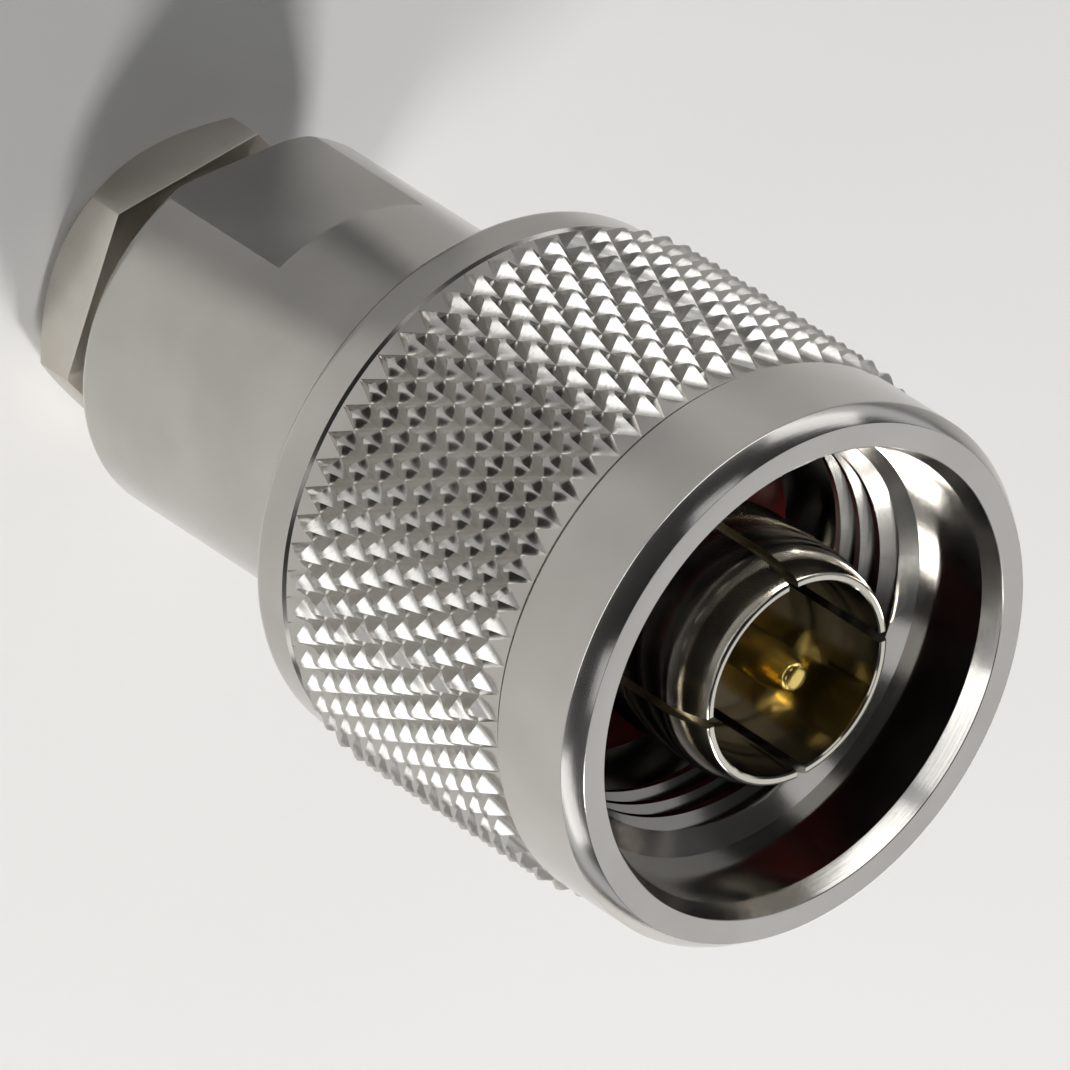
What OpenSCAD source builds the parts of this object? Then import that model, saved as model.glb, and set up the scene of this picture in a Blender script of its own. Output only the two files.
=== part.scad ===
// N type coaxial cable plug, clamp style, for a 5 mm cable. Axis along Z, mating end up.
// It stands on the rear face of its clamp nut. Sizes are in millimetres.

/* [Coupling nut] */
// diameter over the knurl's points
knurl_d = 21.4; // [18:0.1:25]
// depth of the knurl, from its points to its grooves
knurl_depth = 0.55; // [0.2:0.05:0.9]
// diamonds around the nut
knurl_count = 60; // [40:1:72]
// length of one diamond along the axis
knurl_pitch = 2.1; // [1.4:0.1:3]
// half diamonds along the axis, an odd number
knurl_rows = 11; // [7:2:15]
// diameter of the smooth front band
band_d = 20.7; // [18:0.1:24]
// length of the smooth front band
band_l = 4.2; // [2:0.1:8]
// diameter of the smooth ring behind the knurl
collar_d = 20.5; // [18:0.1:24]
// overall length of the coupling nut
nut_l = 17.7; // [15:0.1:22]
// diameter of the smooth counterbore in the mouth
mouth_d = 17.3; // [16.6:0.02:18.4]
// depth of the counterbore
mouth_l = 3.6; // [3:0.1:6]
// major diameter of the 5/8-24 coupling thread
coupling_thread_d = 15.88; // [14:0.01:18]
// length of the coupling thread
coupling_thread_l = 3.2; // [2.1:0.1:5]
// length of the lead-in in front of the coupling thread
lead_l = 0.9; // [0.4:0.1:1.5]

/* [Body] */
// diameter of the body's barrel
barrel_d = 14.55; // [13.8:0.05:16]
// length of the body's barrel
barrel_l = 14.55; // [11:0.05:20]
// distance across the two wrench flats
flats_af = 13; // [12:0.1:14.5]
// length of the wrench flats from the rear end
flats_l = 6.55; // [3:0.05:9]
// diameter of the neck that the coupling nut turns on
neck_d = 12; // [11:0.1:13]
// length of the neck
neck_l = 5.8; // [5:0.1:8]
// rounding of the rear edge
barrel_round = 0.6; // [0.2:0.1:1.2]

/* [Contacts] */
// outside diameter of the outer contact at its tip
contact_tip_d = 8.1; // [7.6:0.05:8.6]
// inside diameter of the outer contact
contact_bore_d = 7; // [6.6:0.05:7.2]
// outside diameter of the outer contact near its base
contact_base_d = 8.9; // [8.6:0.1:10]
// length of the outer contact in front of its flange
contact_l = 9.5; // [8:0.1:11]
// length of the thinner front section
contact_tip_l = 0.8; // [0.5:0.1:4]
// width of the four slots
slot_w = 0.4; // [0.25:0.05:1.2]
// depth of the slots from the tip
slot_l = 6.5; // [3:0.1:8]
// turn of the slots about the axis
slot_turn = 2.5; // [-45:0.5:45]
// diameter of the centre pin
pin_d = 1.65; // [1.3:0.05:2]
// diameter of the centre conductor behind the pin
conductor_d = 3.04; // [2.6:0.02:3.4]
// length of the thin part of the centre pin
pin_l = 5.2; // [4:0.1:6]

/* [Cable end] */
// distance across the clamp nut's flats
hex_af = 11.1; // [10:0.1:13]
// thickness of the clamp nut's hexagon
hex_t = 2.8; // [2:0.1:5]
// outside diameter of the clamp nut's thread
clamp_thread_d = 9.5; // [8.5:0.05:9.6]
// length of the clamp nut's shank
shank_l = 5.85; // [4:0.05:7]
// how far the hexagon stands off the body
stand_off = 1.7; // [0.4:0.1:2.5]
// diameter of the cable's jacket
cable_d = 5; // [4:0.1:5.6]
// thickness of the slip washer
washer_t = 0.6; // [0.4:0.05:1]
// length of the cable gasket
gasket_l = 2.85; // [2:0.05:4]
// length of the braid clamp's rim
clamp_rim = 1.3; // [1:0.1:2]
// depth of the gasket's V groove and of the clamp's wedge
wedge_l = 1.2; // [0.8:0.1:1.5]
// thickness of the web that the braid clamp bears on
web_t = 1.2; // [0.8:0.1:2]
// turn of the hexagon about the axis
hex_turn = 37.5; // [0:0.5:60]

/* [Retaining ring] */
// axial float of the coupling nut
nut_float = 0.4; // [0.1:0.05:0.8]
// thickness of the retaining ring along the axis
ring_t = 0.92; // [0.6:0.02:1.2]
// radial width of the ring
ring_w = 0.8; // [0.5:0.05:1]
// gap between the ring's ends, as an angle
ring_gap = 26; // [10:1:60]

/* [Hidden] */
$fn = 96;
close = 0.02;
run = 0.06;
over = 1;

// heights along the axis
body_z = hex_t + stand_off;
shoulder_z = body_z + barrel_l;
neck_z = shoulder_z + neck_l;
flange_t = 1;
flange_z = neck_z + flange_t;
tip_z = flange_z + contact_l;
shank_z = hex_t + shank_l;
gasket_z = shank_z + washer_t;
groove_z = gasket_z + gasket_l;
clamp_z = groove_z + clamp_rim;
web_z = clamp_z + web_t;
spigot_l = 2;
contact_flange_d = contact_base_d + 4.8;
spigot_z = neck_z - spigot_l;
trap_z = spigot_z - 1.5;
pin_flange_t = 0.8;
pin_rear_z = web_z + 0.8;
pin_tip_z = tip_z - 0.05;
pin_nose_l = 0.9;
pin_nose_r = 0.5;
pin_shoulder_z = pin_tip_z - pin_l;

// the body's bores
entry_d = cable_d + 0.4;
thread_bore_d = clamp_thread_d + 0.2;
thread_bore_z = shank_z + 1;
chamber_d = clamp_thread_d - 0.7;
packing_r = chamber_d / 2 - 2 * close;
wedge_r = (cable_d / 2 + packing_r) / 2;
braid_d = 4;
web_d = braid_d + 0.2;
insulator_d = neck_d - 3.6;
spigot_d = neck_d - 2;

// the coupling nut
nut_z = shoulder_z - 1;
nut_front_z = nut_z + nut_l;
nut_seat_z = shoulder_z + 0.05;
valley_r = knurl_d / 2 - knurl_depth;
knurl_l = knurl_rows * knurl_pitch / 2;
band_z = nut_front_z - band_l;
knurl_front_z = band_z - 0.15;
knurl_z = knurl_front_z - knurl_l;
mouth_z = nut_front_z - mouth_l;
thread_front_z = mouth_z - lead_l;
thread_z = thread_front_z - coupling_thread_l;
relief_d = coupling_thread_d + 0.7;
hub_z = neck_z - 2.3;

// the retaining ring sits half in the body's groove and half in the nut's
ring_z = shoulder_z + 1.64;
ring_r = neck_d / 2 + 0.42;
ring_body_r = neck_d / 2 - 0.85;
ring_nut_r = ring_r + 0.18;

// a quarter round as points, from angle a to angle b about a centre
function arc(c, r, a, b, n = 6) =
    [for (i = [0:n]) c + r * [cos(a + (b - a) * i / n), sin(a + (b - a) * i / n)]];

// the knurl's corners lie on rings, each turned half a diamond from the last
function corner(i, k) = k * knurl_count + (i + knurl_count) % knurl_count;

function on_ring(turn, k, r) =
    [r * cos(turn * 360 / knurl_count), r * sin(turn * 360 / knurl_count),
     knurl_z + k * knurl_pitch / 2];

module turned(points) {
    rotate_extrude() polygon(points);
}

module bore(d, z0, z1) {
    translate([0, 0, z0]) cylinder(d = d, h = z1 - z0);
}

module clamp_nut() {
    corner_r = hex_af / sqrt(3);
    color("silver")
    difference() {
        union() {
            intersection() {
                rotate(hex_turn) cylinder(r = corner_r, h = hex_t, $fn = 6);
                cylinder(r1 = 5, r2 = 5 + hex_t / 0.92, h = hex_t);
            }
            turned([[0, hex_t - 0.5], [clamp_thread_d / 2 - 0.45, hex_t - 0.5],
                    [clamp_thread_d / 2 - 0.45, hex_t + 0.5], [clamp_thread_d / 2, hex_t + 0.95],
                    [clamp_thread_d / 2, shank_z - 0.35], [clamp_thread_d / 2 - 0.35, shank_z],
                    [0, shank_z]]);
        }
        bore(entry_d, -over, shank_z + over);
        translate([0, 0, -0.01]) cylinder(d1 = entry_d + 1, d2 = entry_d, h = 0.5);
        translate([0, 0, shank_z - 0.3]) cylinder(d1 = entry_d, d2 = entry_d + 0.62, h = 0.31);
    }
}

module slip_washer() {
    in_r = entry_d / 2 + 0.2;
    out_r = chamber_d / 2 - run;
    edge = 0.08;
    color("goldenrod")
    turned([[in_r, shank_z + edge], [in_r + edge, shank_z], [out_r - edge, shank_z],
            [out_r, shank_z + edge], [out_r, gasket_z - edge], [out_r - edge, gasket_z],
            [in_r + edge, gasket_z], [in_r, gasket_z - edge]]);
}

// a rubber ring with a V groove that takes the braid clamp's wedge
module cable_gasket() {
    color("dimgray")
    turned([[cable_d / 2, gasket_z], [packing_r, gasket_z], [packing_r, groove_z],
            [wedge_r, groove_z - wedge_l], [cable_d / 2, groove_z - 0.3]]);
}

module braid_clamp() {
    in_r = braid_d / 2;
    rim_z = groove_z + 0.1;
    color("silver")
    turned([[in_r, clamp_z - 0.2], [in_r + 0.2, clamp_z], [packing_r - 0.1, clamp_z],
            [packing_r, clamp_z - 0.1], [packing_r, rim_z],
            [wedge_r + 0.08, rim_z - wedge_l + 0.1], [wedge_r - 0.08, rim_z - wedge_l + 0.1],
            [cable_d / 2, rim_z - 0.2], [in_r, rim_z - 0.2]]);
}

module rear_insulator() {
    color("white")
    difference() {
        bore(insulator_d - 2 * close, web_z, trap_z);
        bore(2.44, web_z - over, trap_z);
        bore(4.28, trap_z - pin_flange_t, trap_z + over);
    }
}

module center_pin() {
    tip_r = pin_d / 2;
    solder_z = pin_rear_z + 2.5;
    color("gold")
    difference() {
        turned(concat([[0, pin_rear_z], [1.1, pin_rear_z], [1.2, pin_rear_z + 0.1],
            [1.2, trap_z - pin_flange_t], [2.1, trap_z - pin_flange_t], [2.1, trap_z],
            [conductor_d / 2, trap_z], [conductor_d / 2, pin_shoulder_z - 0.35],
            [conductor_d / 2 - 0.35, pin_shoulder_z], [tip_r, pin_shoulder_z],
            [tip_r, pin_tip_z - pin_nose_l]],
            arc([0, pin_tip_z - pin_nose_r], pin_nose_r, 20, 90)));
        bore(1.04, pin_rear_z - over, pin_rear_z + 3.6);
        translate([0, 0, solder_z]) rotate([90, 0, 0]) cylinder(d = 0.8, h = 3);
    }
}

module front_insulator() {
    color("white")
    difference() {
        union() {
            bore(insulator_d - 2 * close, trap_z, spigot_z);
            bore(contact_bore_d - 2 * close, trap_z, flange_z + 0.5);
        }
        bore(conductor_d + 2 * close, trap_z - over, flange_z + over);
    }
}

module body() {
    r = barrel_d / 2;
    color("silver")
    difference() {
        turned(concat([[0, body_z]], arc([r - barrel_round, body_z + barrel_round], barrel_round, -90, 0),
            [[r, shoulder_z - 0.15], [r - 0.15, shoulder_z], [neck_d / 2, shoulder_z],
             [neck_d / 2, ring_z - 0.02], [ring_body_r, ring_z - 0.02],
             [ring_body_r, ring_z + ring_t + nut_float + 0.04],
             [neck_d / 2, ring_z + ring_t + nut_float + 0.04],
             [neck_d / 2, neck_z - 0.2], [neck_d / 2 - 0.2, neck_z], [0, neck_z]]));
        for (side = [0, 180])
            rotate(side) translate([flats_af / 2, -barrel_d, body_z - over])
                cube([barrel_d, 2 * barrel_d, flats_l + over]);
        translate([0, 0, body_z - 0.01]) cylinder(d1 = thread_bore_d + 0.82, d2 = thread_bore_d, h = 0.41);
        bore(thread_bore_d, body_z - over, thread_bore_z);
        bore(chamber_d, body_z, clamp_z);
        bore(web_d, body_z, web_z + over);
        bore(insulator_d, web_z, neck_z);
        bore(spigot_d, spigot_z, neck_z + over);
    }
}

module outer_contact() {
    tip_r = contact_tip_d / 2;
    base_r = contact_base_d / 2;
    flange_r = contact_flange_d / 2;
    step_z = tip_z - contact_tip_l;
    nose_z = step_z - (base_r - tip_r);
    color("silver")
    difference() {
        turned(concat([[0, spigot_z], [spigot_d / 2 - close - 0.15, spigot_z],
            [spigot_d / 2 - close, spigot_z + 0.15], [spigot_d / 2 - close, neck_z],
            [flange_r - 0.1, neck_z], [flange_r, neck_z + 0.1], [flange_r, flange_z - 0.1],
            [flange_r - 0.1, flange_z],
            [base_r, flange_z]],
            [[base_r, nose_z - 0.6], [base_r - 0.1, nose_z - 0.5], [base_r - 0.1, nose_z - 0.15]],
            arc([base_r - 0.25, nose_z - 0.15], 0.15, 0, 45, 3),
            [[tip_r, step_z], [tip_r, tip_z - 0.12], [tip_r - 0.12, tip_z], [0, tip_z]]));
        bore(contact_bore_d, spigot_z - over, tip_z + over);
        translate([0, 0, tip_z - 0.12]) cylinder(d1 = contact_bore_d, d2 = contact_bore_d + 0.26, h = 0.13);
        for (turn = [0, 90])
            rotate(slot_turn + turn) translate([-contact_base_d, -slot_w / 2, tip_z - slot_l])
                cube([2 * contact_base_d, slot_w, slot_l + over]);
    }
}

// a sprung ring of square wire, open at one side
module retaining_ring() {
    color("silver")
    translate([0, 0, ring_z])
        rotate(ring_gap / 2) rotate_extrude(angle = 360 - ring_gap)
            translate([ring_r - ring_w, 0]) square([ring_w, ring_t]);
}

module interface_gasket() {
    t = 0.95;
    in_r = contact_base_d / 2 + 0.05;
    out_r = contact_flange_d / 2 - 0.1;
    color("firebrick")
    turned([[in_r, flange_z], [out_r, flange_z], [out_r, flange_z + t - 0.2],
            [out_r - 0.2, flange_z + t], [in_r + 0.2, flange_z + t], [in_r, flange_z + t - 0.2]]);
}

// a closed barrel whose side is a lattice of pointed diamonds, with whole ones at both ends
module knurled_barrel() {
    n = knurl_count;
    top = knurl_rows;
    corners = [for (k = [0:top]) for (i = [0:n - 1]) on_ring(i + (k % 2) / 2, k, valley_r)];
    peaks = [for (k = [1:top - 1]) for (i = [0:n - 1])
        on_ring(i + (1 + k % 2) / 2, k, knurl_d / 2)];
    first_peak = len(corners);
    floor_point = first_peak + len(peaks);
    diamonds = [for (k = [1:top - 1]) for (i = [0:n - 1])
        let (s = k % 2, peak = first_peak + (k - 1) * n + i, west = corner(i, k),
             east = corner(i + 1, k), low = corner(i + s, k - 1), high = corner(i + s, k + 1))
        each [[low, peak, east], [east, peak, high], [high, peak, west], [west, peak, low]]];
    ends = [for (i = [0:n - 1])
        each [[corner(i, 0), corner(i, 1), corner(i + 1, 0)],
              [corner(i, 0), corner(i + 1, 0), floor_point],
              [corner(i + top % 2, top - 1), corner(i, top), corner(i + 1, top)],
              [corner(i + 1, top), corner(i, top), floor_point + 1]]];
    polyhedron(points = concat(corners, peaks, [[0, 0, knurl_z], [0, 0, knurl_front_z]]),
               faces = concat(diamonds, ends));
}

module coupling_nut() {
    band_r = band_d / 2;
    collar_r = collar_d / 2;
    groove_r = valley_r - 0.12;
    hub_r = neck_d / 2 + run;
    front_slope = 0.15;
    lead_r = 0.3;
    edge = 0.1;
    color("silver")
    difference() {
        union() {
            turned(concat([[0, nut_z]], arc([collar_r - 0.5, nut_z + 0.5], 0.5, -90, 0),
                [[collar_r, knurl_z + 0.06], [collar_r - 0.1, knurl_z + 0.16], [0, knurl_z + 0.16]]));
            knurled_barrel();
            turned([[0, knurl_front_z - 0.4], [groove_r, knurl_front_z - 0.4], [groove_r, band_z + 0.1],
                    [0, band_z + 0.1]]);
            turned(concat([[0, band_z], [band_r - 0.12, band_z], [band_r, band_z + 0.12]],
                arc([band_r - 0.25, nut_front_z - front_slope - 0.25], 0.25, 0, 90),
                [[mouth_d / 2 + 0.8, nut_front_z], [0, nut_front_z]]));
        }
        turned([[0, nut_z - over], [barrel_d / 2 + 0.3, nut_z - over], [barrel_d / 2 + 0.3, nut_z],
                [barrel_d / 2 + 0.15, nut_z + 0.15], [barrel_d / 2 + 0.15, nut_seat_z],
                [hub_r + 0.1, nut_seat_z], [hub_r, nut_seat_z + 0.1], [hub_r, ring_z - 0.04],
                [ring_nut_r, ring_z - 0.04], [ring_nut_r, ring_z + ring_t + 0.04],
                [hub_r, ring_z + ring_t + 0.04], [hub_r, hub_z - 0.3], [hub_r + 0.3, hub_z],
                [relief_d / 2, hub_z], [relief_d / 2, thread_z - 0.2],
                [coupling_thread_d / 2, thread_z], [coupling_thread_d / 2, thread_front_z],
                [coupling_thread_d / 2 + lead_r, mouth_z], [mouth_d / 2, mouth_z],
                [mouth_d / 2, nut_front_z - edge],
                [mouth_d / 2 + edge, nut_front_z], [mouth_d / 2 + edge, nut_front_z + over],
                [0, nut_front_z + over]]);
    }
}

clamp_nut();
slip_washer();
cable_gasket();
braid_clamp();
rear_insulator();
center_pin();
front_insulator();
body();
outer_contact();
retaining_ring();
interface_gasket();
coupling_nut();
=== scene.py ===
import math

import bmesh
import bpy
from mathutils import Matrix, Vector


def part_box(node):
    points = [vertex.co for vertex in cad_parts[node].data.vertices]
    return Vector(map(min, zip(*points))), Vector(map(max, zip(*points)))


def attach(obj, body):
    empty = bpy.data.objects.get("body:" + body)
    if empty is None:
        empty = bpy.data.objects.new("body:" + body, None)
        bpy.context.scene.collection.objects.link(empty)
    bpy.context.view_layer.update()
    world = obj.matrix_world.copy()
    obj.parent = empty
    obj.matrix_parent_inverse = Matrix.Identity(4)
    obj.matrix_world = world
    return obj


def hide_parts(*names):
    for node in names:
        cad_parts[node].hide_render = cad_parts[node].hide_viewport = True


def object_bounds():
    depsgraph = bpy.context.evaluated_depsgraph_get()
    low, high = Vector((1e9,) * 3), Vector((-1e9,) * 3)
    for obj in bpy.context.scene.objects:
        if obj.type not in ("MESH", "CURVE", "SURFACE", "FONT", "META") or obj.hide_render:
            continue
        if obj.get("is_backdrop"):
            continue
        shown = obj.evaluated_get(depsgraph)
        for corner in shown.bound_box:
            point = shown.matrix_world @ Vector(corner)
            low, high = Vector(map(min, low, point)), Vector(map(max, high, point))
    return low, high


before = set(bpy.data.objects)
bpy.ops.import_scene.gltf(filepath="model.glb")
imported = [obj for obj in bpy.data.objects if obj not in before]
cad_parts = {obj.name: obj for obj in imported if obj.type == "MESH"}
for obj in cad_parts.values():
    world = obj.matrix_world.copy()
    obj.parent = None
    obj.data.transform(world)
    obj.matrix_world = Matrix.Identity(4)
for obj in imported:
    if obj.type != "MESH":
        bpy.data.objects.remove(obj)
cad_lo, cad_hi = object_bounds()
MM = 0.001


def span(node):
    """A CAD node's lowest and highest z and its outer radius, in millimetres."""
    lo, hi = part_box(node)
    return lo.z / MM, hi.z / MM, max(hi.x, hi.y, -lo.x, -lo.y) / MM


# ---------------------------------------------------------------- mesh tools
def arc(centre_r, centre_z, radius, start, end, steps=6):
    """Points of a round in a profile, as (r, z)."""
    turns = [math.radians(start + (end - start) * i / steps) for i in range(steps + 1)]
    return [(centre_r + radius * math.cos(a), centre_z + radius * math.sin(a)) for a in turns]


def ring(bm, points):
    """Vertices round the axis from (angle, r, z)."""
    return [bm.verts.new((r * math.cos(a) * MM, r * math.sin(a) * MM, z * MM)) for a, r, z in points]


def plain_rings(bm, profile, columns):
    """One closed ring of vertices for each (r, z) of a turned profile."""
    angles = [2 * math.pi * c / columns for c in range(columns)]
    return [ring(bm, [(a, r, z) for a in angles]) for r, z in profile]


def stitch(bm, a, b):
    """Faces between two closed rings, where one may have a whole multiple of the other's vertices."""
    if len(a) < len(b):
        a, b = b, a
    ratio, middle = len(a) // len(b), (len(a) // len(b)) // 2
    for i, near in enumerate(b):
        far = b[(i + 1) % len(b)]
        for k in range(ratio):
            first, second = a[ratio * i + k], a[(ratio * i + k + 1) % len(a)]
            if k == middle:
                bm.faces.new((first, second, far, near))
            else:
                bm.faces.new((first, second, near if k < middle else far))


def skin(bm, rings, closed=True):
    """Faces from each ring to the next, and from the last to the first when closed."""
    for a, b in zip(rings, rings[1:]):
        stitch(bm, a, b)
    if closed:
        stitch(bm, rings[-1], rings[0])


# how deep a 60 degree thread's groove is at each sixteenth of a turn, from its wide land
GROOVE = [0, 0, 0, 0, 0, 0.2, 0.4, 0.6, 0.8, 1, 1, 1, 0.8, 0.6, 0.4, 0.2]


def thread_wall(bm, z_lo, z_hi, pitch, columns, radius):
    """A wall with a right-hand helix. radius(phase, z) gives its r. Returns its end rings."""
    rows = len(GROOVE)
    last = math.ceil(rows * (z_hi - z_lo) / pitch)
    grid = []
    for c in range(columns):
        column = []
        for j in range(-rows, last + 1):
            z = min(max(z_lo + pitch * (j / rows + c / columns), z_lo), z_hi)
            angle = 2 * math.pi * c / columns
            column += ring(bm, [(angle, radius(j % rows, z), z)])
        grid.append(column)
    size = len(grid[0])
    for c in range(columns):
        shift = rows if c == columns - 1 else 0
        near, far = grid[c], grid[(c + 1) % columns]
        for j in range(size - 1):
            corners = dict.fromkeys([near[j], far[min(j + shift, size - 1)],
                                     far[min(j + 1 + shift, size - 1)], near[j + 1]])
            if len(corners) >= 3:
                bm.faces.new(list(corners))
    return [column[0] for column in grid], [column[-1] for column in grid]


WELD, SLIVER = 2e-7, 1e-7          # vertices nearer than this are one, and edges shorter than this go


def solid(name, bm, body, node, material, sharp=22):
    """Closes the mesh into an object that rides on its body and stands for its CAD node."""
    bmesh.ops.remove_doubles(bm, verts=bm.verts, dist=WELD)
    bmesh.ops.dissolve_degenerate(bm, edges=bm.edges, dist=SLIVER)
    bmesh.ops.recalc_face_normals(bm, faces=bm.faces)
    for face in bm.faces:
        face.smooth = True
    for edge in bm.edges:
        if edge.calc_face_angle(0) > math.radians(sharp):
            edge.smooth = False
    mesh = bpy.data.meshes.new(name)
    bm.to_mesh(mesh)
    bm.free()
    piece = bpy.data.objects.new(name, mesh)
    bpy.context.scene.collection.objects.link(piece)
    mesh.materials.append(material)
    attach(piece, body)
    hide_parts(node)
    return piece


def cut(piece, builders):
    """Takes the shape that each mesh builder makes out of a piece."""
    for build in builders:
        tool_mesh = bpy.data.meshes.new("tool")
        bm = bmesh.new()
        build(bm)
        bm.to_mesh(tool_mesh)
        bm.free()
        tool = bpy.data.objects.new("tool", tool_mesh)
        bpy.context.scene.collection.objects.link(tool)
        modifier = piece.modifiers.new("cut", "BOOLEAN")
        modifier.object, modifier.operation, modifier.solver = tool, "DIFFERENCE", "MANIFOLD"
        bpy.context.view_layer.update()
        evaluated = piece.evaluated_get(bpy.context.evaluated_depsgraph_get())
        shape = bpy.data.meshes.new_from_object(evaluated)
        piece.modifiers.clear()
        old, name = piece.data, piece.data.name
        piece.data = shape
        bpy.data.meshes.remove(old)
        shape.name = name
        bpy.data.objects.remove(tool)
        bpy.data.meshes.remove(tool_mesh)


# ----------------------------------------------------------------- materials
def shader(name):
    """A new node material, its nodes and links, and its surface shader."""
    material = bpy.data.materials.new(name)
    material.use_nodes = True
    nodes, links = material.node_tree.nodes, material.node_tree.links
    return material, nodes, links, nodes["Principled BSDF"]


def math_node(nodes, links, operation, a, b=None):
    node = nodes.new("ShaderNodeMath")
    node.operation = operation
    links.new(a, node.inputs[0])
    if isinstance(b, float):
        node.inputs[1].default_value = b
    elif b is not None:
        links.new(b, node.inputs[1])
    return node.outputs[0]


def noise(nodes, links, vector, scale, detail):
    node = nodes.new("ShaderNodeTexNoise")
    node.inputs["Scale"].default_value, node.inputs["Detail"].default_value = scale, detail
    links.new(vector, node.inputs["Vector"])
    return node.outputs["Fac"]


def spread(nodes, links, value, low, high):
    """The noise's middle range, stretched to run from low to high."""
    node = nodes.new("ShaderNodeMapRange")
    for socket, number in {"From Min": 0.3, "From Max": 0.7, "To Min": low, "To Max": high}.items():
        node.inputs[socket].default_value = number
    links.new(value, node.inputs["Value"])
    return node.outputs[0]


def blend_colours(nodes, links, value, low, high):
    node = nodes.new("ShaderNodeValToRGB")
    for stop, place, colour in zip(node.color_ramp.elements, (0.35, 0.65), (low, high)):
        stop.position, stop.color = place, (*colour, 1)
    links.new(value, node.inputs[0])
    return node.outputs[0]


def raise_skin(nodes, links, bsdf, height, strength, depth):
    bump = nodes.new("ShaderNodeBump")
    bump.inputs["Strength"].default_value, bump.inputs["Distance"].default_value = strength, depth
    links.new(height, bump.inputs["Height"])
    links.new(bump.outputs[0], bsdf.inputs["Normal"])


# how fine each noise is, in cells to the metre
LATHE_LINES, METAL_CLOUD, METAL_PITS, MOULD_CLOUD, MOULD_SKIN = 9000, 260, 4200, 420, 1500


def turned_metal(name, low, high, rough, lathe, grain):
    """Plated metal with cloudy gloss, fine pits and the rings that a lathe leaves."""
    material, nodes, links, bsdf = shader(name)
    where = nodes.new("ShaderNodeTexCoord").outputs["Object"]
    parts = nodes.new("ShaderNodeSeparateXYZ")
    links.new(where, parts.inputs[0])
    x, y, z = parts.outputs
    squares = [math_node(nodes, links, "MULTIPLY", value, value) for value in (x, y)]
    radius = math_node(nodes, links, "SQRT", math_node(nodes, links, "ADD", *squares))
    along = nodes.new("ShaderNodeCombineXYZ")
    links.new(radius, along.inputs[0])
    links.new(z, along.inputs[1])
    rings = noise(nodes, links, along.outputs[0], LATHE_LINES, 3)
    cloud = noise(nodes, links, where, METAL_CLOUD, 5)
    pits = noise(nodes, links, where, METAL_PITS, 3)
    links.new(blend_colours(nodes, links, cloud, low, high), bsdf.inputs["Base Color"])
    links.new(spread(nodes, links, cloud, rough[0], rough[1]), bsdf.inputs["Roughness"])
    bsdf.inputs["Metallic"].default_value = 1
    height = math_node(nodes, links, "ADD", math_node(nodes, links, "MULTIPLY", rings, lathe),
                       math_node(nodes, links, "MULTIPLY", pits, grain))
    raise_skin(nodes, links, bsdf, height, 1, 0.01 * MM)
    return material


def moulded(name, low, high, rough, grain, sheen=0.0):
    """Rubber or plastic with a slightly uneven skin."""
    material, nodes, links, bsdf = shader(name)
    where = nodes.new("ShaderNodeTexCoord").outputs["Object"]
    cloud = noise(nodes, links, where, MOULD_CLOUD, 5)
    skin_height = noise(nodes, links, where, MOULD_SKIN, 4)
    links.new(blend_colours(nodes, links, cloud, low, high), bsdf.inputs["Base Color"])
    links.new(spread(nodes, links, skin_height, rough[0], rough[1]), bsdf.inputs["Roughness"])
    bsdf.inputs["Sheen Weight"].default_value = sheen
    raise_skin(nodes, links, bsdf, skin_height, grain, 0.02 * MM)
    return material


# name, the two colours that it drifts between, its range of roughness, and how strong its skin is
nickel = turned_metal("nickel", (0.475, 0.46, 0.435), (0.535, 0.52, 0.495), (0.13, 0.2), 0.12, 0.1)
contact_metal = turned_metal("contact_nickel", (0.6, 0.57, 0.5), (0.68, 0.65, 0.58), (0.08, 0.14), 0.1, 0.1)
satin = turned_metal("satin_nickel", (0.50, 0.47, 0.42), (0.60, 0.57, 0.52), (0.34, 0.44), 0.05, 0.5)
gold = turned_metal("gold", (0.80, 0.59, 0.16), (0.92, 0.73, 0.25), (0.14, 0.22), 0.1, 0.1)
bronze = turned_metal("spring_bronze", (0.60, 0.36, 0.20), (0.72, 0.47, 0.27), (0.3, 0.4), 0.3, 0.3)
ptfe = moulded("ptfe", (0.80, 0.79, 0.76), (0.88, 0.87, 0.84), (0.42, 0.55), 0.3)
silicone = moulded("red_silicone", (0.14, 0.009, 0.007), (0.2, 0.015, 0.011), (0.4, 0.55), 0.35)
rubber = moulded("black_rubber", (0.018, 0.018, 0.018), (0.03, 0.03, 0.03), (0.5, 0.65), 0.5, sheen=0.2)


# -------------------------------------------------------------- coupling nut
nut_z, front_z, knurl_r = span("coupling_nut")
body_z, neck_z, barrel_r = span("body")
shoulder_z = nut_z + 1            # the body's shoulder, inside the nut's rear counterbore
ring_z, ring_top, _ = span("retaining_ring")
KNURLS, KNURL_ROWS, KNURL_PITCH, KNURL_DEPTH = 60, 11, 2.1, 0.55
CELLS = 12                        # mesh cells across one diamond
valley_r = knurl_r - KNURL_DEPTH
band_r, collar_r, mouth_r = 10.35, 10.25, 8.65
band_z, mouth_z = front_z - 4.2, front_z - 3.6
knurl_top = band_z - 0.15
knurl_z = knurl_top - KNURL_ROWS * KNURL_PITCH / 2
COUPLING_PITCH, RUNOUT = 1.0583, 1.75
thread_r, thread_minor, thread_back = 7.94, 7.37, front_z - 7.9
lead_r, lead_z = 8.24, front_z - 4.5
relief_r, hub_r, hub_z = 8.29, 6.06, neck_z - 2.3
# height of a diamond from its groove to its point, in sixths
POINT = [0, 0.13, 0.32, 0.52, 0.72, 0.9, 1]


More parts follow.
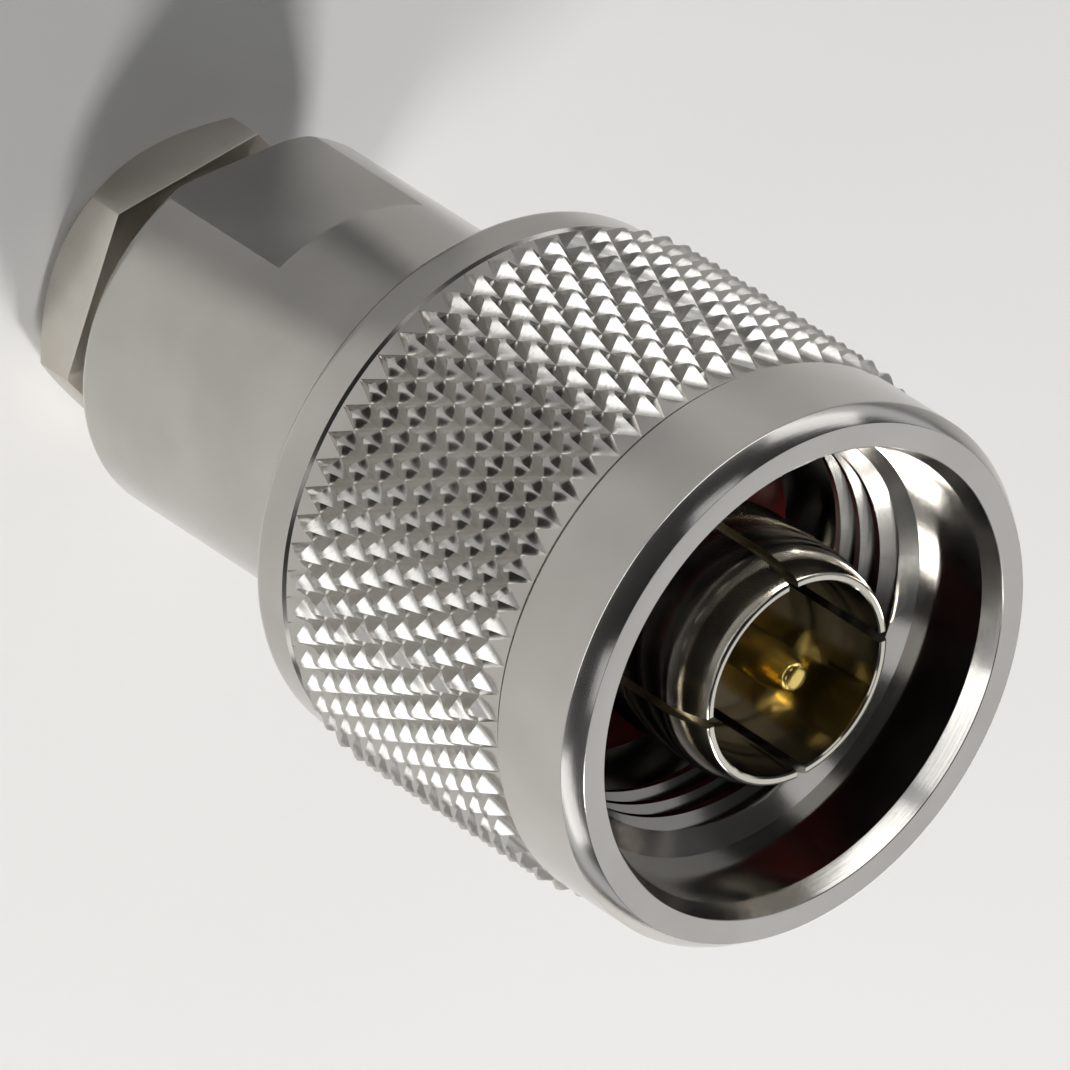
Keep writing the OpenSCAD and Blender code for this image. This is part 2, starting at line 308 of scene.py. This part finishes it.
def diamond_height(i, j):
    """Height of the knurl's grid at a column and a row. The end diamonds' outer halves are left out."""
    half = CELLS // 2
    p, q = (i + j) % CELLS, (i - j) % CELLS
    row = ((i + j) // CELLS - (i - j) // CELLS) * half
    if row in (0, KNURL_ROWS * half):
        return 0
    return POINT[min(p, CELLS - p, q, CELLS - q)]


def knurl(bm):
    """The knurled wall, creased along the diamonds' ridges. Returns its end rings."""
    columns, rows = KNURLS * CELLS, KNURL_ROWS * CELLS // 2
    rings = []
    for j in range(rows + 1):
        z = knurl_z + KNURL_PITCH * j / CELLS
        radii = [valley_r + KNURL_DEPTH * diamond_height(i, j) for i in range(columns)]
        rings.append(ring(bm, [(2 * math.pi * i / columns, r, z) for i, r in enumerate(radii)]))
    for j in range(rows):
        for i in range(columns):
            a, b = rings[j][i], rings[j][(i + 1) % columns]
            c, d = rings[j + 1][(i + 1) % columns], rings[j + 1][i]
            p, q = (i + j + 1) % CELLS, (i - j) % CELLS
            if min(p, CELLS - p) < min(q, CELLS - q):
                bm.faces.new((a, b, d))
                bm.faces.new((b, c, d))
            else:
                bm.faces.new((a, b, c))
                bm.faces.new((a, c, d))
    return rings[0], rings[-1]


def coupling_thread(phase, z):
    """The nut's thread, widened by its lead-in chamfer in front and its relief behind."""
    groove = thread_minor + (thread_r - thread_minor) * GROOVE[phase]
    lead = thread_minor + (z - lead_z) * (lead_r - thread_minor) / (mouth_z - lead_z)
    return max(groove, lead, relief_r - RUNOUT * (z - thread_back))


bm = bmesh.new()
columns = KNURLS * CELLS // 3
low, high = knurl(bm)
COLLAR_ROUND, GROOVE_EDGE, RIM_ROUND = 0.5, 0.12, 0.2
profile = arc(collar_r - COLLAR_ROUND, nut_z + COLLAR_ROUND, COLLAR_ROUND, -90, 0, 8)
collar = plain_rings(bm, profile + [(collar_r, knurl_z - GROOVE_EDGE)], columns)
skin(bm, collar, closed=False)
stitch(bm, collar[-1], low)
profile = [(valley_r - GROOVE_EDGE, knurl_top), (valley_r - GROOVE_EDGE, band_z),
           (band_r - GROOVE_EDGE, band_z), (band_r, band_z + GROOVE_EDGE)]
profile += arc(band_r - RIM_ROUND, front_z - 0.8, RIM_ROUND, 0, 30, 5)
profile += [(mouth_r + out, front_z - down) for out, down in [
    (1.25, 0.02), (1.23, 0.004), (1.19, 0), (0.34, 0), (0.31, 0.02), (0, 0.75)]]
front = plain_rings(bm, profile, columns)
stitch(bm, high, front[0])
skin(bm, front, closed=False)
mouth_floor, = plain_rings(bm, [(mouth_r, mouth_z)], columns)
thread_low, thread_high = thread_wall(bm, thread_back, mouth_z, COUPLING_PITCH, columns, coupling_thread)
stitch(bm, front[-1], mouth_floor)
stitch(bm, mouth_floor, thread_high)
seat_z = shoulder_z + 0.05
RING_GAP, RING_GROOVE_R, BARREL_GAP = 0.04, 6.6, 0.15
inside = plain_rings(bm, [
    (relief_r, hub_z), (hub_r + 0.3, hub_z), (hub_r, hub_z - 0.3), (hub_r, ring_top + RING_GAP),
    (RING_GROOVE_R, ring_top + RING_GAP), (RING_GROOVE_R, ring_z - RING_GAP), (hub_r, ring_z - RING_GAP),
    (hub_r, seat_z + 0.1), (hub_r + 0.1, seat_z), (barrel_r + BARREL_GAP, seat_z),
    (barrel_r + BARREL_GAP, nut_z + BARREL_GAP), (barrel_r + 2 * BARREL_GAP, nut_z)], columns)
stitch(bm, thread_low, inside[0])
skin(bm, inside, closed=False)
stitch(bm, inside[-1], collar[0])
solid("coupling_nut_turned", bm, "nut", "coupling_nut", nickel)

# ---------------------------------------------------------------------- body
FLAT, FLAT_COLUMNS, ROUND_COLUMNS = 6.5, 24, 72
flats_z = body_z + 6.55
NECK_R, NECK_GROOVE_R, BARREL_ROUND = 6, 5.15, 0.6
SPIGOT_BORE_R, BEAD_BORE_R, WEB_R, BRAID_BORE_R, CLAMP_BORE_R = 5, 4.2, 2.1, 4.4, 4.85


def flatted(bm, r, z, flats):
    """A ring whose two sides are cut to the wrench flats, with a vertex on each corner."""
    corner = math.acos(FLAT / (r if flats else barrel_r))
    points = []
    for side in (0, math.pi):
        for c in range(FLAT_COLUMNS):
            a = -corner + 2 * corner * c / FLAT_COLUMNS
            points.append((side + a, FLAT / math.cos(a) if flats else r, z))
        for c in range(ROUND_COLUMNS):
            points.append((side + corner + (math.pi - 2 * corner) * c / ROUND_COLUMNS, r, z))
    return ring(bm, points)


bm = bmesh.new()
spigot_z, tip_z, _ = span("outer_contact")
clamp_top = span("braid_clamp")[1]
web_z = span("rear_insulator")[0]
shank_z = span("clamp_nut")[1]
profile = arc(barrel_r - BARREL_ROUND, body_z + BARREL_ROUND, BARREL_ROUND, -90, 0, 10)
rings = [flatted(bm, r, z, True) for r, z in profile + [(barrel_r, flats_z)]]
groove_low, groove_high = ring_z - 0.02, ring_top + 0.44      # the ring floats 0.4 along its groove
rings += [flatted(bm, r, z, False) for r, z in [
    (barrel_r, flats_z), (barrel_r, shoulder_z - 0.15), (barrel_r - 0.15, shoulder_z), (NECK_R, shoulder_z),
    (NECK_R, groove_low), (NECK_GROOVE_R, groove_low), (NECK_GROOVE_R, groove_high), (NECK_R, groove_high),
    (NECK_R, neck_z - 0.2), (NECK_R - 0.2, neck_z), (SPIGOT_BORE_R, neck_z), (SPIGOT_BORE_R, spigot_z),
    (BEAD_BORE_R, spigot_z), (BEAD_BORE_R, web_z), (WEB_R, web_z), (WEB_R, clamp_top),
    (BRAID_BORE_R, clamp_top), (BRAID_BORE_R, shank_z + 1), (CLAMP_BORE_R, shank_z + 1),
    (CLAMP_BORE_R, body_z + 0.4), (CLAMP_BORE_R + 0.41, body_z)]]
skin(bm, rings)
solid("body_turned", bm, "plug", "body", nickel)

# ----------------------------------------------------------------- clamp nut
bm = bmesh.new()
HEX_R, HEX_T, HEX_TURN, SIDE = 5.55, 2.8, 37.5, 24
REAR_R, SHANK_R, SHANK_ROOT_R, ENTRY_R = 5, 4.75, 4.3, 2.7
CLAMP_PITCH, CLAMP_DEPTH, THREAD_START = 0.79375, 0.43, HEX_T + 0.5
columns = 6 * SIDE
angles = [math.radians(HEX_TURN) + 2 * math.pi * c / columns for c in range(columns)]
hexagon = [HEX_R / math.cos(math.radians(60 * (c % SIDE) / SIDE - 30)) for c in range(columns)]
rear = ring(bm, [(a, REAR_R, 0) for a in angles])
CHAMFER = 0.92                    # rise of the corners' chamfer for each millimetre of radius
crease = ring(bm, [(a, r, CHAMFER * (r - REAR_R)) for a, r in zip(angles, hexagon)])
face = ring(bm, [(a, r, HEX_T) for a, r in zip(angles, hexagon)])
root = ring(bm, [(a, SHANK_ROOT_R, HEX_T) for a in angles])


def clamp_thread(phase, z):
    """The shank's thread, which tapers to its root at both ends."""
    groove = GROOVE[(phase + len(GROOVE) // 2) % len(GROOVE)]
    return min(SHANK_R - CLAMP_DEPTH * groove, SHANK_ROOT_R + (z - THREAD_START), SHANK_ROOT_R + (shank_z - z))


low, high = thread_wall(bm, THREAD_START, shank_z, CLAMP_PITCH, columns, clamp_thread)
bore = [ring(bm, [(a, r, z) for a in angles]) for r, z in [
    (ENTRY_R + 0.31, shank_z), (ENTRY_R, shank_z - 0.3), (ENTRY_R, 0.5), (ENTRY_R + 0.5, 0)]]
shift = round(HEX_TURN / 360 * columns)
low, high = low[shift:] + low[:shift], high[shift:] + high[:shift]
skin(bm, [rear, crease, face, root, low], closed=False)
skin(bm, [high, *bore, rear], closed=False)
bmesh.ops.remove_doubles(bm, verts=bm.verts, dist=WELD)
bmesh.ops.recalc_face_normals(bm, faces=bm.faces)
# the hexagon's own edges are broken by 0.05 mm, and the shank's are left sharp
edges = [e for e in bm.edges
         if all(v.co.xy.length > 4.9 * MM for v in e.verts) and e.calc_face_angle(0) > 0.5]
bmesh.ops.bevel(bm, geom=edges, offset=0.05 * MM, segments=2, profile=0.5, affect="EDGES")
solid("clamp_nut_turned", bm, "clamp", "clamp_nut", satin, sharp=35)

# ------------------------------------------------------------- outer contact
bm = bmesh.new()
flange_z = span("interface_gasket")[0]
SPIGOT_R, FLANGE_R, TUBE_R, MOUTH_R, BORE_R = 4.98, 6.85, 4.45, 3.72, 3.5
NOSE_L, NOSE_DROP, NOSE_STEPS, TIP_ROUND = 2.1, 0.37, 10, 0.08
profile = [(SPIGOT_R - 0.15, spigot_z), (SPIGOT_R, spigot_z + 0.15), (SPIGOT_R, neck_z),
           (FLANGE_R - 0.1, neck_z), (FLANGE_R, neck_z + 0.1), (FLANGE_R, flange_z - 0.1),
           (FLANGE_R - 0.1, flange_z), (TUBE_R, flange_z)]
profile += [(TUBE_R - NOSE_DROP * (i / NOSE_STEPS) ** 2, tip_z - NOSE_L + 0.2 * i) for i in range(NOSE_STEPS)]
profile += arc(3.97, tip_z - TIP_ROUND, TIP_ROUND, 15, 88, 5)
profile += [(3.965, tip_z - 0.003), (3.955, tip_z), (3.785, tip_z), (3.775, tip_z - 0.003),
            (3.73, tip_z - 0.05), (MOUTH_R, tip_z - 0.09), (MOUTH_R, tip_z - 7.7),
            (BORE_R, tip_z - 7.8), (BORE_R, spigot_z)]
skin(bm, plain_rings(bm, profile, 192))
contact = solid("outer_contact_turned", bm, "plug", "outer_contact", contact_metal)


SLOT_L, SLOT_W, CUTTER_L, CUTTER_T, SLOT_TURN = 6.5, 0.4, 8, 20, 2.5


def slot_cutter(turn):
    """A mesh builder for a thin box that cuts two opposite slots from the tip down."""
    place = Matrix.Translation((0, 0, (tip_z - SLOT_L + CUTTER_L / 2) * MM))
    stretch = Matrix.Diagonal((CUTTER_T * MM, SLOT_W * MM, CUTTER_L * MM, 1))

    def build(bm):
        bmesh.ops.create_cube(bm, size=1, matrix=Matrix.Rotation(math.radians(turn), 4, "Z") @ place @ stretch)
    return build


cut(contact, [slot_cutter(SLOT_TURN), slot_cutter(SLOT_TURN + 90)])

# ---------------------------------------------------------------- centre pin
bm = bmesh.new()
pin_z, pin_tip, _ = span("center_pin")
trap_z = span("front_insulator")[0]
shoulder = pin_tip - 5.2
TAIL_R, TRAP_R, TRAP_T, STEM_R, PIN_R, CUP_R, CUP_L, DOT_R = 1.2, 2.1, 0.8, 1.52, 0.825, 0.52, 3.6, 0.02
outside = [(TAIL_R - 0.1, pin_z), (TAIL_R, pin_z + 0.1), (TAIL_R, trap_z - TRAP_T),
           (TRAP_R, trap_z - TRAP_T), (TRAP_R, trap_z), (STEM_R, trap_z), (STEM_R, shoulder - 0.35),
           (STEM_R - 0.35, shoulder), (PIN_R, shoulder)]
outside += [(r, pin_tip - down) for r, down in [
    (PIN_R, 1.4), (0.79, 1.15), (0.56, 0.22), (0.53, 0.12), (0.46, 0.045), (0.36, 0.018), (0.2, 0.006),
    (DOT_R, 0)]]
cup = [(DOT_R, pin_z + CUP_L), (CUP_R, pin_z + CUP_L), (CUP_R, pin_z + 0.1), (CUP_R + 0.1, pin_z)]
rings = plain_rings(bm, cup + outside, 72)
skin(bm, rings, closed=False)
bm.faces.new(rings[0])
bm.faces.new(rings[-1])
solid("center_pin_turned", bm, "plug", "center_pin", gold, sharp=30)

# --------------------------------------------------------- interface gasket
bm = bmesh.new()
_, gasket_top, gasket_r = span("interface_gasket")
HOLE_R, TOP_ROUND, BASE_ROUND = 4.5, 0.25, 0.1
profile = arc(gasket_r - TOP_ROUND, gasket_top - TOP_ROUND, TOP_ROUND, 0, 90)
profile += arc(HOLE_R + TOP_ROUND, gasket_top - TOP_ROUND, TOP_ROUND, 90, 180)
profile += arc(HOLE_R + BASE_ROUND, flange_z + BASE_ROUND, BASE_ROUND, 180, 270)
profile += arc(gasket_r - BASE_ROUND, flange_z + BASE_ROUND, BASE_ROUND, 270, 360)
skin(bm, plain_rings(bm, profile, 144))
solid("interface_gasket_moulded", bm, "plug", "interface_gasket", silicone, sharp=60)

# ------------------------------------------------- the CAD pieces that show
for node, material in {"slip_washer": nickel, "cable_gasket": rubber, "braid_clamp": nickel,
                       "rear_insulator": ptfe, "front_insulator": ptfe, "retaining_ring": bronze}.items():
    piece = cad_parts[node]
    piece.data.materials.clear()
    piece.data.materials.append(material)

# -------------------------------------------------------------------- camera
AZIMUTH, ELEVATION, ROLL = math.radians(45), math.radians(40.9), math.radians(32.8)
MM_ACROSS, DISTANCE, SENSOR = 36.9, 0.8, 36
AIM_DOWN, AIM_SIDE = 10.62 * MM, 0.71 * MM
to_camera = Vector((math.cos(ELEVATION) * math.cos(AZIMUTH), math.cos(ELEVATION) * math.sin(AZIMUTH),
                    math.sin(ELEVATION)))
side = Vector((-math.sin(AZIMUTH), math.cos(AZIMUTH), 0))
rise = to_camera.cross(side)
right = rise * math.cos(ROLL) - side * math.sin(ROLL)
up = -rise * math.sin(ROLL) - side * math.cos(ROLL)
target = Vector((0, 0, cad_hi.z)) - rise * AIM_DOWN + side * AIM_SIDE
cam_data = bpy.data.cameras.new("camera")
cam_data.sensor_width = SENSOR
cam_data.lens = SENSOR * DISTANCE * 1000 / MM_ACROSS
cam_data.clip_start, cam_data.clip_end = 0.05, 20
camera = bpy.data.objects.new("camera", cam_data)
bpy.context.scene.collection.objects.link(camera)
facing = Matrix((right, up, to_camera)).transposed().to_4x4()
camera.matrix_world = Matrix.Translation(target + to_camera * DISTANCE) @ facing
bpy.context.scene.camera = camera

# --------------------------------------------------------------------- stage
floor_material, nodes, links, bsdf = shader("floor")
bsdf.inputs["Base Color"].default_value = (0.86, 0.86, 0.86, 1)
bsdf.inputs["Roughness"].default_value = 0.9
bsdf.inputs["Specular IOR Level"].default_value = 0.1
floor_mesh = bpy.data.meshes.new("floor")
half = 1.5
corners = [(-half, -half, 0), (half, -half, 0), (half, half, 0), (-half, half, 0)]
floor_mesh.from_pydata(corners, [], [(0, 1, 2, 3)])
floor_mesh.materials.append(floor_material)
floor = bpy.data.objects.new("floor", floor_mesh)
bpy.context.scene.collection.objects.link(floor)
floor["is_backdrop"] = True

# the studio's walls are bright near the floor and its ceiling is dark: sine of the height, brightness
SKY = [(0.001, 0.75), (0.1, 0.75), (0.22, 0.05), (0.999, 0.02)]
world = bpy.data.worlds.new("world")
world.use_nodes = True
nodes, links = world.node_tree.nodes, world.node_tree.links
parts = nodes.new("ShaderNodeSeparateXYZ")
links.new(nodes.new("ShaderNodeTexCoord").outputs["Generated"], parts.inputs[0])
sky = nodes.new("ShaderNodeValToRGB")
sky.color_ramp.interpolation = "EASE"
for place, level in SKY:
    stop = sky.color_ramp.elements.new(place)
    stop.color = (0.97 * level, 0.985 * level, level, 1)
sky.color_ramp.elements.remove(sky.color_ramp.elements[0])
sky.color_ramp.elements.remove(sky.color_ramp.elements[-1])
links.new(parts.outputs["Z"], sky.inputs[0])
links.new(sky.outputs[0], nodes["Background"].inputs[0])
bpy.context.scene.world = world
bpy.context.scene.view_settings.view_transform = "Standard"


WHITE, WARM = (1, 1, 1), (1, 0.98, 0.95)
AIM_HEIGHT = 20 * MM


def softbox(name, turn, height, distance, width, tall, watts, colour=WHITE):
    """An area light that faces the object, turn degrees round from the camera, height degrees up."""
    light = bpy.data.lights.new(name, "AREA")
    light.shape, light.size, light.size_y = "RECTANGLE", width, tall
    light.energy, light.color = watts, colour
    lamp = bpy.data.objects.new(name, light)
    bpy.context.scene.collection.objects.link(lamp)
    a, h = AZIMUTH + math.radians(turn), math.radians(height)
    away = Vector((math.cos(h) * math.cos(a), math.cos(h) * math.sin(a), math.sin(h)))
    lamp.location = Vector((0, 0, AIM_HEIGHT)) + away * distance
    lamp.rotation_euler = away.to_track_quat("Z", "Y").to_euler()


softbox("key", 139, 43, 0.4, 0.08, 0.08, 1.02, WARM)
softbox("second", 92, 44, 0.35, 0.07, 0.07, 0.45, WARM)
softbox("back", 180, 40, 0.6, 0.25, 0.25, 0.155)
for turn in (128, 232):
    softbox("back", turn, 41, 0.6, 0.5, 0.25, 0.13)
for turn in (-42, 42):
    softbox("front", turn, 43, 0.6, 0.2, 0.2, 0.09)
for turn in (-45, 18):
    softbox("low", turn, 4, 0.5, 0.5, 0.07, 0.28)
softbox("side", 85, 13, 0.5, 0.3, 0.1, 0.14)
softbox("side", -85, 14, 0.5, 0.3, 0.1, 0.13)

low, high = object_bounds()
